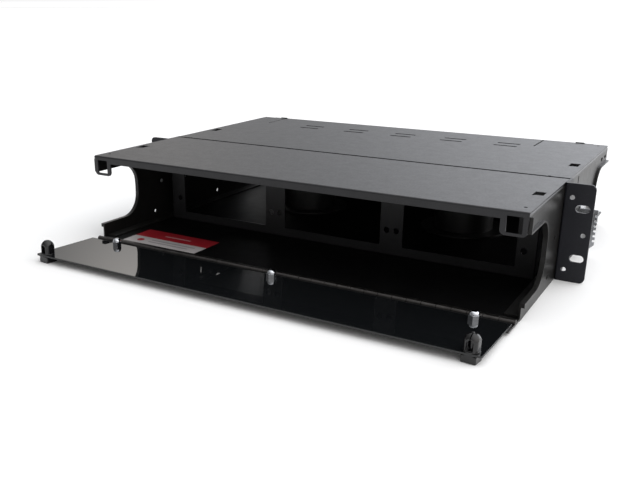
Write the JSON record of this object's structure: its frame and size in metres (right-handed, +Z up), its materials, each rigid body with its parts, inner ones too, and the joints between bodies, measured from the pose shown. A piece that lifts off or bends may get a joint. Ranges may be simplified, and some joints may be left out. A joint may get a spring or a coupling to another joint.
{
  "type": "fiber termination box",
  "caption": "Rack-mount sheet-metal fibre termination box with smoked drop-down front door, adapter-panel bulkhead and slack spools.",
  "frame": {"origin": "on the bottom face, on the left-right centre plane, directly below the front faces of the rack ears", "axes": "+X to the right seen from the front, +Y towards the rear, +Z up"},
  "size_m": [0.4826, 0.417, 0.0888],
  "materials": {
    "black_powder_coat": "fine-textured semi-matte black powder coat on steel sheet",
    "hinge_steel": "dark satin finish on steel",
    "smoked_acrylic": "polished dark smoked acrylic sheet",
    "bright_nickel": "bright nickel plate",
    "zinc_plate": "clear zinc plate",
    "black_nylon": "moulded black nylon",
    "black_plastic": "moulded black plastic",
    "black_screws": "black oxide steel",
    "label_vinyl": "printed vinyl, red and pale grey bands without lettering"
  },
  "bodies": {
    "chassis": {"base_pan": "black_powder_coat", "bulkhead": "black_powder_coat", "bulkhead_nuts": "zinc_plate", "bulkhead_screws": "black_screws", "cable_bracket": "zinc_plate", "cable_bracket_nuts": "zinc_plate", "cable_bracket_screws": "zinc_plate", "ear_left": "black_powder_coat", "ear_nuts": "zinc_plate", "ear_right": "black_powder_coat", "ear_screws": "black_screws", "fibre_spool_left": "black_plastic", "fibre_spool_right": "black_plastic", "floor_label": "label_vinyl", "front_cover_screws": "black_screws", "front_top_cover": "black_powder_coat", "hinge_leaf_chassis": "hinge_steel", "hinge_pin": "hinge_steel", "rear_cover_nuts": "zinc_plate", "rear_panel": "black_powder_coat", "rear_panel_nuts": "zinc_plate", "rear_panel_screws": "black_screws", "seam_strip": "black_powder_coat", "side_panel_left": "black_powder_coat", "side_panel_right": "black_powder_coat", "spool_screws": "black_screws"},
    "door": {"door_panel": "smoked_acrylic", "hinge_leaf_door": "hinge_steel", "door_bolts": "zinc_plate", "acorn_nuts": "bright_nickel", "latch_grommet_left": "black_nylon", "latch_grommet_right": "black_nylon"},
    "rear_cover": {"rear_top_cover": "black_powder_coat", "rear_cover_screws": "black_screws"},
    "latch_left": {"latch_plunger_left": "black_nylon"},
    "latch_right": {"latch_plunger_right": "black_nylon"}
  },
  "joints": [
    {"name": "door_hinge", "type": "hinge", "parent": "chassis", "child": "door", "pos_m": [0, -0.1272, 0.004], "axis": [-1, 0, 0], "range_deg": [0, 87.6]},
    {"name": "rear_cover_lift", "type": "slide", "parent": "chassis", "child": "rear_cover", "axis": [0, 0, 1], "range_m": [0, 0.1]},
    {"name": "latch_left_pull", "type": "slide", "parent": "door", "child": "latch_left", "axis": [0, -0.0419, -0.9991], "range_m": [0, 0.006]},
    {"name": "latch_right_pull", "type": "slide", "parent": "door", "child": "latch_right", "axis": [0, -0.0419, -0.9991], "range_m": [0, 0.006]}
  ]
}
